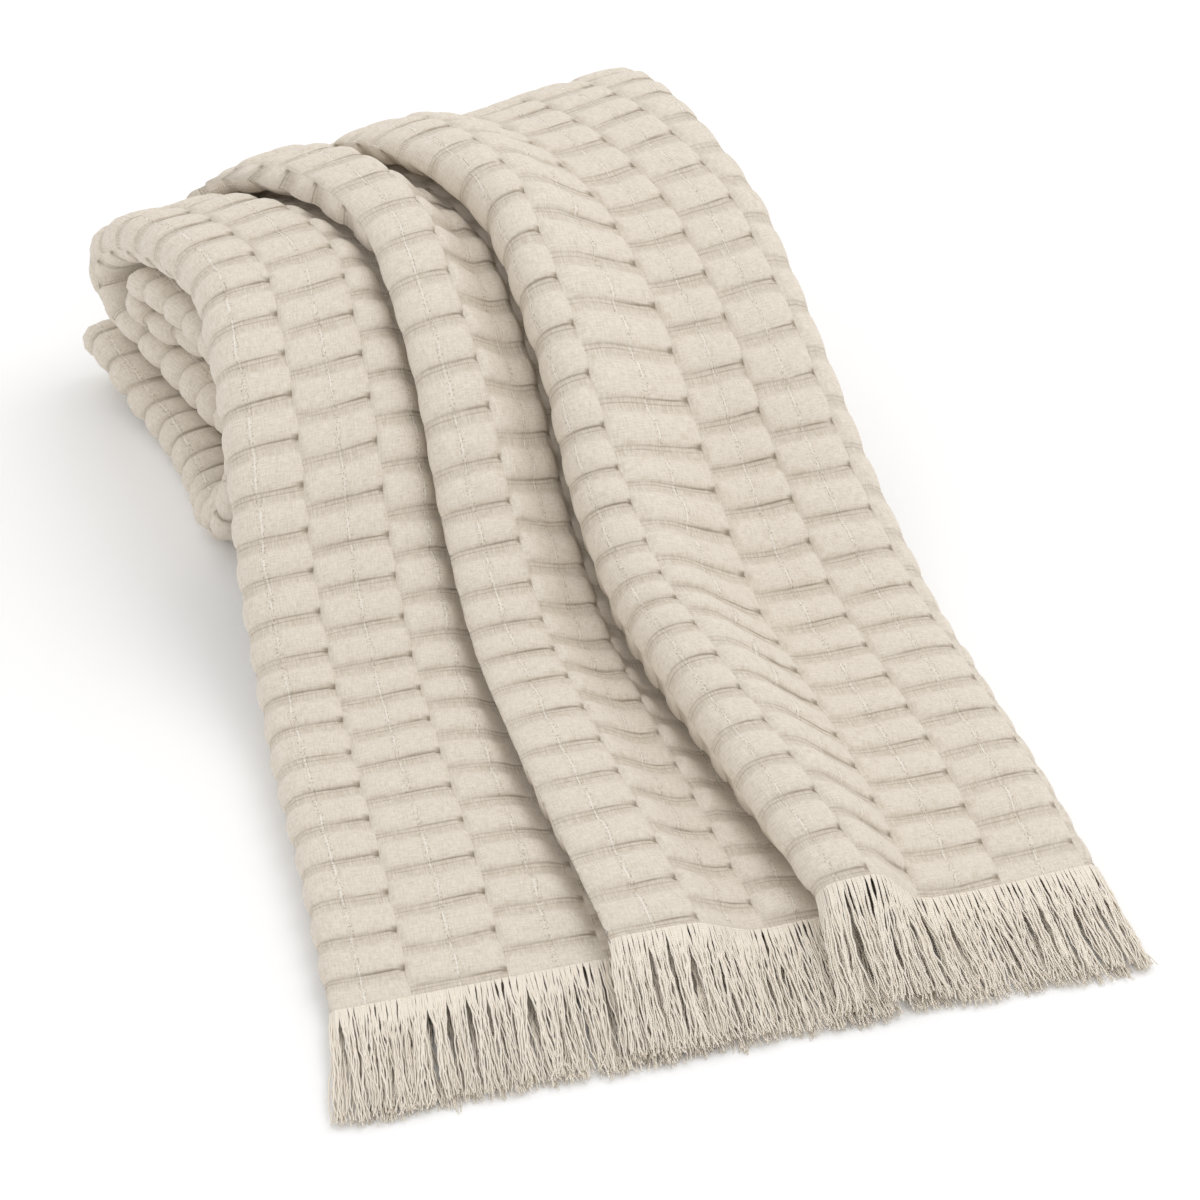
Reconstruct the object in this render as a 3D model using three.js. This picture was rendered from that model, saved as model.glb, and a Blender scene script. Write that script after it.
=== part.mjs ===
// A woven, puffed-rib throw with a yarn fringe, folded in half along its
// length, laid out flat at the front, drawn up over its own folded-back half,
// and taken in by two soft pleats that lean to the left.
// Millimetres, +Z up. The front hem lies along X at the low end of Y.

import * as THREE from 'three';

// ---- driving sizes --------------------------------------------------------

const clothThick = 5;          // one layer of the puffed weave
const layerStep = 7;           // from the middle of one pleated layer to the next
const wideRows = 13;           // rows of the route with a cross section between them as well
const wrapLength = 58;         // cloth turned under along the left edge
const leftRun = 30;            // flat cloth kept between the left pleat and the left fold
const fringeLength = 76;
const fringeSpread = 0.05;     // how far the yarns fan out, for each unit from the middle
const fringeThick = 3;
const fringeGap = 0.4;         // between the hem and the fringe comb
const toothWidth = 46;         // widest tooth of the comb
const toothGap = 4;            // slot between two teeth

// Where the doubled cloth runs, seen from the side: the middle of its
// thickness, from the front hem to the end that is tucked under the heel.
const route = [
  { at: 'hem', y: 0, z: 8.3, thick: 16.4 },
  { at: 'front floor', y: 90, z: 14, thick: 29 },
  { at: 'middle floor', y: 180, z: 18.5, thick: 38 },
  { at: 'lift', y: 262, z: 26, thick: 44 },
  { at: 'lower ramp', y: 342, z: 64, thick: 46 },
  { at: 'upper ramp', y: 413, z: 118, thick: 46 },
  { at: 'shoulder', y: 486, z: 157, thick: 45 },
  { at: 'crest', y: 562, z: 171, thick: 42 },
  { at: 'brow', y: 633, z: 163, thick: 38 },
  { at: 'upper back', y: 688, z: 140, thick: 35 },
  { at: 'back', y: 716, z: 109, thick: 32 },
  { at: 'lower back', y: 704, z: 82, thick: 29 },
  { at: 'third layer rear', y: 664, z: 66, thick: 27.5 },
  { at: 'third layer', y: 608, z: 57.5, thick: 35 },
  { at: 'third layer front', y: 562, z: 57.5, thick: 28 },
  { at: 'low turn', y: 549.5, z: 62.5, thick: 25 },
  { at: 'turn', y: 545, z: 75, thick: 25 },
  { at: 'high turn', y: 549.5, z: 87.5, thick: 25 },
  { at: 'second layer front', y: 562, z: 92.5, thick: 25.5 },
  { at: 'second layer', y: 610, z: 94.5, thick: 25.5 },
  { at: 'tongue', y: 646, z: 94, thick: 25.5 },
  { at: 'low tip', y: 656.6, z: 98.4, thick: 25 },
  { at: 'tip', y: 661, z: 109, thick: 25 },
  { at: 'high tip', y: 656.6, z: 119.6, thick: 25 },
  { at: 'tongue top', y: 646, z: 124, thick: 25.5 },
  { at: 'cover', y: 596, z: 125, thick: 26 },
  { at: 'over nose', y: 528, z: 122, thick: 28 },
  { at: 'upper nose', y: 486, z: 103, thick: 32 },
  { at: 'nose', y: 467, z: 66, thick: 36 },
  { at: 'lower nose', y: 483, z: 32, thick: 36 },
  { at: 'ball', y: 526, z: 18.5, thick: 36 },
  { at: 'sole', y: 598, z: 18.5, thick: 35 },
  { at: 'rear sole', y: 648, z: 22.5, thick: 28.5 },
  { at: 'heel rise', y: 682, z: 37.5, thick: 25 },
  { at: 'heel', y: 707, z: 43, thick: 25 },
  { at: 'heel top', y: 717.6, z: 38.6, thick: 25 },
  { at: 'heel back', y: 722, z: 28, thick: 25 },
  { at: 'heel foot', y: 717.6, z: 17.4, thick: 25 },
  { at: 'heel underside', y: 707, z: 13, thick: 25 },
  { at: 'tucked end', y: 693, z: 12.8, thick: 25 },
];

// How the cloth lies across its width, at distances along the route. A pleat
// has its left fold, its crest line, how far its layers reach back under it,
// how high it stands and how wide its right flank is. Sink is how far its
// lower layers press inward, and turn is how far back the right side lies for
// each unit across. The free edge lies in from the left fold, and drop is how
// much of the layer's depth the cloth turned under at the left fold takes.
const breadth = [
  {
    along: 0, left: 0, right: 486, sink: 0, turn: 0.042, freeEdge: 8, drop: 0,
    fold1: 169, crest1: 218, deep1: 56, rise1: 16, flank1: 44,
    fold2: 300, crest2: 336, deep2: 26, rise2: 26, flank2: 32,
  },
  {
    along: 90, left: 0, right: 478, sink: 0.4, turn: 0.035, freeEdge: 8, drop: 0,
    fold1: 152, crest1: 202, deep1: 56, rise1: 19, flank1: 42,
    fold2: 274, crest2: 312, deep2: 30, rise2: 35, flank2: 50,
  },
  {
    along: 180, left: -3, right: 468, sink: 0.55, turn: 0.03, freeEdge: 8, drop: 0,
    fold1: 141, crest1: 188, deep1: 56, rise1: 18, flank1: 40,
    fold2: 251, crest2: 287, deep2: 34, rise2: 40, flank2: 62,
  },
  {
    along: 270, left: -5, right: 457, sink: 0.65, turn: 0.035, freeEdge: 22, drop: 0,
    fold1: 134, crest1: 178, deep1: 56, rise1: 17, flank1: 38,
    fold2: 232, crest2: 266, deep2: 38, rise2: 42, flank2: 68,
  },
  {
    along: 365, left: -6, right: 438, sink: 0.7, turn: 0.06, freeEdge: 50, drop: 0,
    fold1: 130, crest1: 171, deep1: 56, rise1: 20, flank1: 36,
    fold2: 219, crest2: 252, deep2: 42, rise2: 42, flank2: 70,
  },
  {
    along: 456, left: -2, right: 419, sink: 0.7, turn: 0.1, freeEdge: 66, drop: 0.1,
    fold1: 129, crest1: 166, deep1: 56, rise1: 23, flank1: 36,
    fold2: 214, crest2: 241, deep2: 46, rise2: 39, flank2: 70,
  },
  {
    along: 547, left: -2, right: 408, sink: 0.7, turn: 0.14, freeEdge: 68, drop: 0.5,
    fold1: 119, crest1: 158, deep1: 58, rise1: 24, flank1: 30,
    fold2: 202, crest2: 229, deep2: 50, rise2: 35, flank2: 64,
  },
  {
    along: 638, left: -4, right: 426, sink: 0.75, turn: 0.205, freeEdge: 68, drop: 0.85,
    fold1: 104, crest1: 158, deep1: 62, rise1: 21, flank1: 18,
    fold2: 187, crest2: 234, deep2: 56, rise2: 22, flank2: 56,
  },
  {
    along: 730, left: -8, right: 452, sink: 0.9, turn: 0.22, freeEdge: 68, drop: 1,
    fold1: 82, crest1: 150, deep1: 66, rise1: 12, flank1: 14,
    fold2: 178, crest2: 238, deep2: 60, rise2: 9, flank2: 50,
  },
  {
    along: 810, left: -10, right: 448, sink: 1, turn: 0.19, freeEdge: 68, drop: 1,
    fold1: 68, crest1: 130, deep1: 66, rise1: 3, flank1: 28,
    fold2: 176, crest2: 226, deep2: 60, rise2: 2, flank2: 45,
  },
  {
    along: 880, left: 2, right: 440, sink: 1, turn: 0.17, freeEdge: 68, drop: 1,
    fold1: 76, crest1: 126, deep1: 60, rise1: 0, flank1: 34,
    fold2: 180, crest2: 226, deep2: 56, rise2: 0, flank2: 45,
  },
  {
    along: 970, left: 10, right: 420, sink: 1, turn: 0.16, freeEdge: 68, drop: 1,
    fold1: 78, crest1: 126, deep1: 58, rise1: 0, flank1: 38,
    fold2: 182, crest2: 226, deep2: 56, rise2: 0, flank2: 45,
  },
  {
    along: 1040, left: 18, right: 416, sink: 1, turn: 0.16, freeEdge: 68, drop: 1,
    fold1: 78, crest1: 124, deep1: 56, rise1: 0, flank1: 42,
    fold2: 184, crest2: 226, deep2: 56, rise2: 0, flank2: 45,
  },
  {
    along: 1110, left: -8, right: 414, sink: 1, turn: 0.16, freeEdge: 68, drop: 1,
    fold1: 78, crest1: 124, deep1: 56, rise1: 0, flank1: 42,
    fold2: 184, crest2: 226, deep2: 56, rise2: 0, flank2: 45,
  },
  {
    along: 1200, left: 0, right: 416, sink: 1, turn: 0.16, freeEdge: 68, drop: 1,
    fold1: 78, crest1: 124, deep1: 56, rise1: 0, flank1: 42,
    fold2: 184, crest2: 226, deep2: 56, rise2: 0, flank2: 45,
  },
  {
    along: 1310, left: 6, right: 420, sink: 1, turn: 0.16, freeEdge: 68, drop: 1,
    fold1: 78, crest1: 124, deep1: 56, rise1: 0, flank1: 42,
    fold2: 184, crest2: 226, deep2: 56, rise2: 0, flank2: 45,
  },
  {
    along: 1375, left: -13, right: 424, sink: 1, turn: 0.16, freeEdge: 68, drop: 1,
    fold1: 78, crest1: 124, deep1: 56, rise1: 0, flank1: 42,
    fold2: 184, crest2: 226, deep2: 56, rise2: 0, flank2: 45,
  },
  {
    along: 1445, left: -21, right: 430, sink: 1, turn: 0.16, freeEdge: 68, drop: 1,
    fold1: 78, crest1: 124, deep1: 56, rise1: 0, flank1: 42,
    fold2: 184, crest2: 226, deep2: 56, rise2: 0, flank2: 45,
  },
  {
    along: 1530, left: -16, right: 430, sink: 1, turn: 0.16, freeEdge: 68, drop: 1,
    fold1: 78, crest1: 124, deep1: 56, rise1: 0, flank1: 42,
    fold2: 184, crest2: 226, deep2: 56, rise2: 0, flank2: 45,
  },
  {
    along: 1620, left: -20, right: 430, sink: 1, turn: 0.16, freeEdge: 68, drop: 1,
    fold1: 78, crest1: 124, deep1: 56, rise1: 0, flank1: 42,
    fold2: 184, crest2: 226, deep2: 56, rise2: 0, flank2: 45,
  },
  {
    along: 1662, left: 2, right: 430, sink: 1, turn: 0.16, freeEdge: 68, drop: 1,
    fold1: 78, crest1: 124, deep1: 56, rise1: 0, flank1: 42,
    fold2: 184, crest2: 226, deep2: 56, rise2: 0, flank2: 45,
  },
];

// The folded-back half is turned a little: it drifts left behind this line.
const driftStart = 530;
const driftEase = 60;
const driftSlope = 0.42;
const fullWidth = 487;
const rightRise = 0.2;         // how much taller the hump is at the right edge

// The fringe sinks from the height of the hem to the floor over these rows.
const fringeRows = [
  { out: 0, height: 1 },
  { out: 0.08, height: 0.97 },
  { out: 0.3, height: 0.72 },
  { out: 0.62, height: 0.36 },
  { out: 1, height: 0.22 },
];

const cottonMaterial = () => new THREE.MeshStandardMaterial({
  color: 0xe6dccb, roughness: 0.92, metalness: 0,
});
const yarnMaterial = () => new THREE.MeshStandardMaterial({
  color: 0xebe2d3, roughness: 0.95, metalness: 0,
});

// ---- reading the tables ---------------------------------------------------

// A smooth value between table rows, by a cubic through the nearest four.
function between(rows, place, key, distance) {
  const last = rows.length - 1;
  let i = 0;
  while (i < last - 1 && rows[i + 1][place] < distance) {
    i += 1;
  }
  const p1 = rows[i];
  const p2 = rows[i + 1];
  const p0 = rows[Math.max(i - 1, 0)];
  const p3 = rows[Math.min(i + 2, last)];
  const span = p2[place] - p1[place];
  const t = THREE.MathUtils.clamp((distance - p1[place]) / span, 0, 1);
  const m1 = span * (p2[key] - p0[key]) / (p2[place] - p0[place]);
  const m2 = span * (p3[key] - p1[key]) / (p3[place] - p1[place]);
  const t2 = t * t;
  const t3 = t2 * t;
  return (2 * t3 - 3 * t2 + 1) * p1[key] + (t3 - 2 * t2 + t) * m1
    + (3 * t2 - 2 * t3) * p2[key] + (t3 - t2) * m2;
}

const routeCurve = new THREE.CatmullRomCurve3(
  route.map((row) => new THREE.Vector3(0, row.y, row.z)), false, 'centripetal',
);
const stepsPerRow = 20;
routeCurve.arcLengthDivisions = stepsPerRow * (route.length - 1);
const routeLengths = routeCurve.getLengths();
route.forEach((row, i) => {
  row.along = routeLengths[i * stepsPerRow];
});
const routeLength = routeLengths[routeLengths.length - 1];

// ---- the cloth's cross section --------------------------------------------

// A pleat's profile, in shares of its own sizes unless a unit is given.
const pleatForm = {
  lowFlank: { across: 0.6, up: 0.42 },       // of the flank's width and the rise
  highFlank: { across: 0.25, up: 0.86 },
  crestUp: 0.98,                             // of the rise
  ridge: 0.5,                                // of the width from fold to crest, as
  roundTop: 0.14,                            // are the roundings of the fold
  roundBack: 0.1,
  roundMost: 0.45,                           // of the loop's height
  shoulderRoom: 0.5,                         // mm kept above and below the shoulders
  shoulderStart: 0.62,                       // mm
  shoulderShare: 0.34,                       // of the loop's height
  backRun: 0.34,                             // of the width, as are foot and panel
  // The panel on its left comes up closer to a tall pleat than to a flat one.
  fullRise: 8,                               // mm of rise that count as half tall
  footFlat: 0.05,
  footTall: 0.2,
  panelOut: 0.25,
  panelNearer: 0.1,
  panelFlat: 0.7,                            // of the depth that the base has sunk
  panelTall: 0.25,
};

// One pleat from right to left: down its flank from the panel, round the
// crest, back under itself, and out again as the panel on its left.
function pleat(fold, crest, deep, rise, flank, topLevel, sink) {
  const form = pleatForm;
  const base = topLevel - 2 * layerStep * sink;
  const back = base + layerStep;
  const loop = topLevel + rise - back;
  const width = crest - fold;
  const turn = layerStep / 2;
  const roundTop = Math.min(form.roundTop * width, form.roundMost * loop);
  const roundBack = Math.min(form.roundBack * width, form.roundMost * loop);
  const shoulder = Math.min(
    loop / 2 - form.shoulderRoom, form.shoulderStart + form.shoulderShare * loop,
  );
  const full = rise / (rise + form.fullRise);
  const foot = form.footFlat + form.footTall * full;
  const panelOut = form.panelOut - form.panelNearer * full;
  const panelUp = form.panelFlat + form.panelTall * full;
  return [
    [crest + flank, topLevel],
    [crest + form.lowFlank.across * flank, topLevel + form.lowFlank.up * rise],
    [crest + form.highFlank.across * flank, topLevel + form.highFlank.up * rise],
    [crest, topLevel + form.crestUp * rise],
    [fold + form.ridge * width, topLevel + rise],
    [fold + roundTop, back + loop / 2 + shoulder],
    [fold, back + loop / 2],
    [fold + roundBack, back + loop / 2 - shoulder],
    [fold + form.backRun * width, back],
    [fold + deep - turn, back],
    [fold + deep, back - turn],
    [fold + deep - turn, base],
    [fold + foot * width, base],
    [fold - panelOut * width, base + panelUp * (topLevel - base)],
  ];
}

const underShares = [0.35, 0.7];       // of the width, where the under layer is held level

// The middle line of the sheet across the doubled strip, as [across, up], from
// the open edge below, round the right fold, over both pleats to the left fold.
function clothSection(along) {
  const value = (key) => between(breadth, 'along', key, along);
  const thick = between(route, 'along', 'thick', along);
  const left = value('left');
  const right = value('right');
  const sink = value('sink');
  const topLevel = (thick - clothThick) / 2;
  const underLevel = -topLevel;
  const highWrap = Math.min(underLevel + layerStep, 0);
  const wrapLevel = highWrap + value('drop') * (underLevel - highWrap);
  const rightTurn = topLevel;
  const leftTurn = (topLevel - wrapLevel) / 2;
  const leftMiddle = (topLevel + wrapLevel) / 2;
  const corner = Math.SQRT1_2;
  const pleatNumber = (n) => pleat(
    value(`fold${n}`), value(`crest${n}`), value(`deep${n}`), value(`rise${n}`), value(`flank${n}`),
    topLevel, sink,
  );
  return [
    [left + value('freeEdge'), underLevel],
    ...underShares.map((share) => [left + share * (right - left), underLevel]),
    [right - rightTurn, underLevel],
    [right - rightTurn * (1 - corner), -corner * topLevel],
    [right, 0],
    [right - rightTurn * (1 - corner), corner * topLevel],
    [right - rightTurn, topLevel],
    ...pleatNumber(2),
    ...pleatNumber(1),
    [left + leftTurn + leftRun, topLevel],
    [left + leftTurn, topLevel],
    [left + leftTurn * (1 - corner), leftMiddle + corner * leftTurn],
    [left, leftMiddle],
    [left + leftTurn * (1 - corner), leftMiddle - corner * leftTurn],
    [left + leftTurn, wrapLevel],
    [left + wrapLength, wrapLevel],
  ];
}

// The line thickened to both sides, as one closed loop.
function thickened(line, thickness) {
  const normals = line.map((point, i) => {
    const before = line[Math.max(i - 1, 0)];
    const after = line[Math.min(i + 1, line.length - 1)];
    const a = new THREE.Vector2(point[0] - before[0], point[1] - before[1]);
    const b = new THREE.Vector2(after[0] - point[0], after[1] - point[1]);
    const along = a.normalize().add(b.normalize()).normalize();
    return [-along.y, along.x];
  });
  const side = (sign) => line.map((point, i) => [
    point[0] + sign * normals[i][0] * thickness / 2,
    point[1] + sign * normals[i][1] * thickness / 2,
  ]);
  return [...side(-1), ...side(1).reverse()];
}

// A section point set on the route, then drifted left at the back, raised to
// the right, and pressed flat where it meets the floor.
function placed(across, up, along) {
  const u = THREE.MathUtils.clamp(along / routeLength, 0, 1);
  const middle = routeCurve.getPointAt(u);
  const heading = routeCurve.getTangentAt(u);
  const y = middle.y - up * heading.z + between(breadth, 'along', 'turn', along) * across;
  const height = middle.z + up * heading.y;
  const behind = Math.max(0, y - driftStart);
  const x = across - driftSlope * behind * behind / (behind + driftEase);
  const z = Math.max(0, height) * (1 + rightRise * across / fullWidth);
  return [x, y, z];
}

// ---- closed meshes --------------------------------------------------------

function meshGeometry(positions, triangles) {
  const geometry = new THREE.BufferGeometry();
  geometry.setAttribute('position', new THREE.Float32BufferAttribute(positions.flat(), 3));
  geometry.setIndex(triangles.flat());
  geometry.computeVertexNormals();
  return geometry;
}

function clothGeometry() {
  const positions = [];
  const triangles = [];
  const stations = route.flatMap((row, i) => (i < wideRows ? [i, i + 0.5] : [i]));
  const stationCount = stations.length;
  let loopSize = 0;
  stations.forEach((station) => {
    const along = routeLengths[station * stepsPerRow];
    const loop = thickened(clothSection(along), clothThick);
    loopSize = loop.length;
    loop.forEach((point) => positions.push(placed(point[0], point[1], along)));
  });
  for (let s = 0; s < stationCount - 1; s += 1) {
    for (let i = 0; i < loopSize; i += 1) {
      const j = (i + 1) % loopSize;
      const a = s * loopSize + i;
      const b = s * loopSize + j;
      const c = a + loopSize;
      const d = b + loopSize;
      triangles.push([a, d, b], [a, c, d]);
    }
  }
  const half = loopSize / 2;
  for (let i = 0; i < half - 1; i += 1) {
    const near = [i, i + 1, loopSize - 2 - i, loopSize - 1 - i];
    const far = near.map((index) => index + loopSize * (stationCount - 1));
    triangles.push([near[0], near[1], near[2]], [near[0], near[2], near[3]]);
    triangles.push([far[0], far[2], far[1]], [far[0], far[3], far[2]]);
  }
  return meshGeometry(positions, triangles);
}

// The hem line cut into teeth: long runs are split, with a slot in each split.
function fringeLine() {
  const hem = clothSection(0);
  const line = [{ at: hem[0], tooth: true }];
  for (let i = 1; i < hem.length; i += 1) {
    const start = new THREE.Vector2(...hem[i - 1]);
    const end = new THREE.Vector2(...hem[i]);
    const length = start.distanceTo(end);
    const slots = Math.floor(length / toothWidth);
    for (let n = 1; n <= slots; n += 1) {
      const centre = length * (n - 0.5) / slots;
      [centre - toothGap / 2, centre + toothGap / 2].forEach((distance, side) => {
        const point = start.clone().lerp(end, distance / length);
        line.push({ at: [point.x, point.y], tooth: side === 0 });
      });
    }
    line.push({ at: hem[i], tooth: true });
  }
  return line;
}

// A comb: a band along the hem, then teeth that sink to the floor. The tooth
// flag of a point tells whether the stretch that ends there is cloth or slot.
function fringeGeometry() {
  const line = fringeLine();
  const count = line.length;
  const loop = thickened(line.map((point) => point.at), fringeThick);
  const positions = [];
  fringeRows.forEach((row) => {
    loop.forEach((point) => {
      const hemPoint = placed(point[0], point[1], 0);
      const x = hemPoint[0] + row.out * fringeSpread * (hemPoint[0] - fullWidth / 2);
      const y = hemPoint[1] - fringeGap - row.out * fringeLength;
      positions.push([x, y, hemPoint[2] * row.height]);
    });
  });
  const id = (row, side, i) => row * 2 * count + (side === 0 ? i : 2 * count - 1 - i);
  const triangles = [];
  const quad = (a, b, c, d) => triangles.push([a, c, b], [a, d, c]);
  const rows = fringeRows.length;
  const solid = (row, i) => i > 0 && i < count && row >= 0 && row < rows - 1
    && (row === 0 || line[i].tooth);
  for (let row = 0; row < rows - 1; row += 1) {
    for (let i = 1; i < count; i += 1) {
      if (!solid(row, i)) {
        continue;
      }
      quad(id(row, 0, i - 1), id(row + 1, 0, i - 1), id(row + 1, 0, i), id(row, 0, i));
      quad(id(row, 1, i - 1), id(row, 1, i), id(row + 1, 1, i), id(row + 1, 1, i - 1));
      if (!solid(row - 1, i)) {
        quad(id(row, 0, i - 1), id(row, 0, i), id(row, 1, i), id(row, 1, i - 1));
      }
      if (!solid(row + 1, i)) {
        quad(id(row + 1, 0, i - 1), id(row + 1, 1, i - 1), id(row + 1, 1, i), id(row + 1, 0, i));
      }
      if (!solid(row, i - 1)) {
        quad(id(row, 0, i - 1), id(row, 1, i - 1), id(row + 1, 1, i - 1), id(row + 1, 0, i - 1));
      }
      if (!solid(row, i + 1)) {
        quad(id(row, 0, i), id(row + 1, 0, i), id(row + 1, 1, i), id(row, 1, i));
      }
    }
  }
  return meshGeometry(positions, triangles);
}

// ---- the throw ------------------------------------------------------------

const throwGroup = new THREE.Group();
const cloth = new THREE.Mesh(clothGeometry(), cottonMaterial());
cloth.name = 'throw_cloth';
const fringe = new THREE.Mesh(fringeGeometry(), yarnMaterial());
fringe.name = 'fringe';
throwGroup.add(cloth, fringe);

const box = new THREE.Box3().setFromObject(throwGroup);
throwGroup.position.set(-(box.min.x + box.max.x) / 2, -(box.min.y + box.max.y) / 2, -box.min.z);
throwGroup.updateMatrixWorld(true);

export default throwGroup;
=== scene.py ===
import math

import bpy
import numpy as np
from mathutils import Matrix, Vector


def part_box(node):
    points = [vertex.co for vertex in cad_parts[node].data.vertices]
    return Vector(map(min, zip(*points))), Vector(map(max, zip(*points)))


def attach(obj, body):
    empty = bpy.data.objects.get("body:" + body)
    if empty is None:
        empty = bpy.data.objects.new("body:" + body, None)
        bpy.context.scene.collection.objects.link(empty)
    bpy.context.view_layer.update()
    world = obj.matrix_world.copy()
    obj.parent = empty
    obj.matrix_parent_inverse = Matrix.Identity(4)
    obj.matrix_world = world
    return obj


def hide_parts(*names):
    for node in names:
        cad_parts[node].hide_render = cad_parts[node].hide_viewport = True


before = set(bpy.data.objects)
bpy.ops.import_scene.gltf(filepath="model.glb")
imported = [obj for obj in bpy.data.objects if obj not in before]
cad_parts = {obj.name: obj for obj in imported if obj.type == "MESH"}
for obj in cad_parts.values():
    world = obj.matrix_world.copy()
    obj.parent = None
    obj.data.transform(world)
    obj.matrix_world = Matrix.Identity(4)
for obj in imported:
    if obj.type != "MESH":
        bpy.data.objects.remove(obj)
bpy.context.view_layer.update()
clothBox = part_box("throw_cloth")
mm = 0.001          # the tables below are in millimetres, Blender works in metres
print("frame loaded")


def readTable(places, values, at):
    # a smooth value between the places, by a cubic through the nearest four
    places = np.asarray(places, float)
    values = np.asarray(values, float)
    last = len(places) - 1
    i = np.clip(np.searchsorted(places, at, side="left") - 1, 0, last - 1)
    before = np.maximum(i - 1, 0)
    after = np.minimum(i + 2, last)
    span = places[i + 1] - places[i]
    t = np.clip((at - places[i]) / span, 0, 1)
    m1 = span * (values[i + 1] - values[before]) / (places[i + 1] - places[before])
    m2 = span * (values[after] - values[i]) / (places[after] - places[i])
    t2 = t * t
    t3 = t2 * t
    return ((2 * t3 - 3 * t2 + 1) * values[i] + (t3 - 2 * t2 + t) * m1
            + (3 * t2 - 2 * t3) * values[i + 1] + (t3 - t2) * m2)


def smoothThrough(points, perSpan):
    # centripetal curves through rows of points, shape (rows, points, axes)
    first = 2 * points[:, :1] - points[:, 1:2]
    end = 2 * points[:, -1:] - points[:, -2:-1]
    padded = np.concatenate([first, points, end], axis=1)
    p0, p1, p2, p3 = padded[:, :-3], padded[:, 1:-2], padded[:, 2:-1], padded[:, 3:]
    gap = np.maximum(np.sqrt(np.linalg.norm(np.diff(padded, axis=1), axis=2, keepdims=True)), 1e-6)
    d0, d1, d2 = gap[:, :-2], gap[:, 1:-1], gap[:, 2:]
    t1 = ((p1 - p0) / d0 - (p2 - p0) / (d0 + d1) + (p2 - p1) / d1) * d1
    t2 = ((p2 - p1) / d1 - (p3 - p1) / (d1 + d2) + (p3 - p2) / d2) * d1
    w = (np.arange(perSpan) / perSpan)[None, None, :, None]
    p1, p2, t1, t2 = p1[:, :, None], p2[:, :, None], t1[:, :, None], t2[:, :, None]
    curve = (p1 + t1 * w + (3 * (p2 - p1) - 2 * t1 - t2) * w ** 2
             + (2 * (p1 - p2) + t1 + t2) * w ** 3)
    rows, spans = points.shape[0], points.shape[1] - 1
    curve = curve.reshape(rows, spans * perSpan, points.shape[2])
    return np.concatenate([curve, points[:, -1:]], axis=1)


def distancesAlong(curve):
    steps = np.linalg.norm(np.diff(curve, axis=-2), axis=-1)
    start = np.zeros(steps.shape[:-1] + (1,))
    return np.concatenate([start, np.cumsum(steps, axis=-1)], axis=-1)


def softStep(x, low, high):
    t = np.clip((x - low) / (high - low), 0, 1)
    return t * t * (3 - 2 * t)


# Side view of the doubled cloth, from the front hem to the end tucked under the heel:
# the middle of its thickness and how thick the two layers lie.
route = {
    "hem": (0, 8.3, 16.4),
    "front floor": (90, 14, 29),
    "middle floor": (180, 18.5, 38),
    "lift": (262, 26, 44),
    "lower ramp": (342, 64, 46),
    "upper ramp": (413, 118, 46),
    "shoulder": (486, 157, 45),
    "crest": (562, 171, 42),
    "brow": (633, 163, 38),
    "upper back": (688, 140, 35),
    "back": (716, 109, 32),
    "lower back": (704, 82, 29),
    "third layer rear": (664, 66, 27.5),
    "third layer": (608, 57.5, 35),
    "third layer front": (562, 57.5, 28),
    "low turn": (549.5, 62.5, 25),
    "turn": (545, 75, 25),
    "high turn": (549.5, 87.5, 25),
    "second layer front": (562, 92.5, 25.5),
    "second layer": (610, 94.5, 25.5),
    "tongue": (646, 94, 25.5),
    "low tip": (656.6, 98.4, 25),
    "tip": (661, 109, 25),
    "high tip": (656.6, 119.6, 25),
    "tongue top": (646, 124, 25.5),
    "cover": (596, 125, 26),
    "over nose": (528, 122, 28),
    "upper nose": (486, 103, 32),
    "nose": (467, 66, 36),
    "lower nose": (483, 32, 36),
    "ball": (526, 18.5, 36),
    "sole": (598, 18.5, 35),
    "rear sole": (648, 22.5, 28.5),
    "heel rise": (682, 37.5, 25),
    "heel": (707, 43, 25),
    "heel top": (717.6, 38.6, 25),
    "heel back": (722, 28, 25),
    "heel foot": (717.6, 17.4, 25),
    "heel underside": (707, 13, 25),
    "tucked end": (693, 12.8, 25),
}

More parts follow.
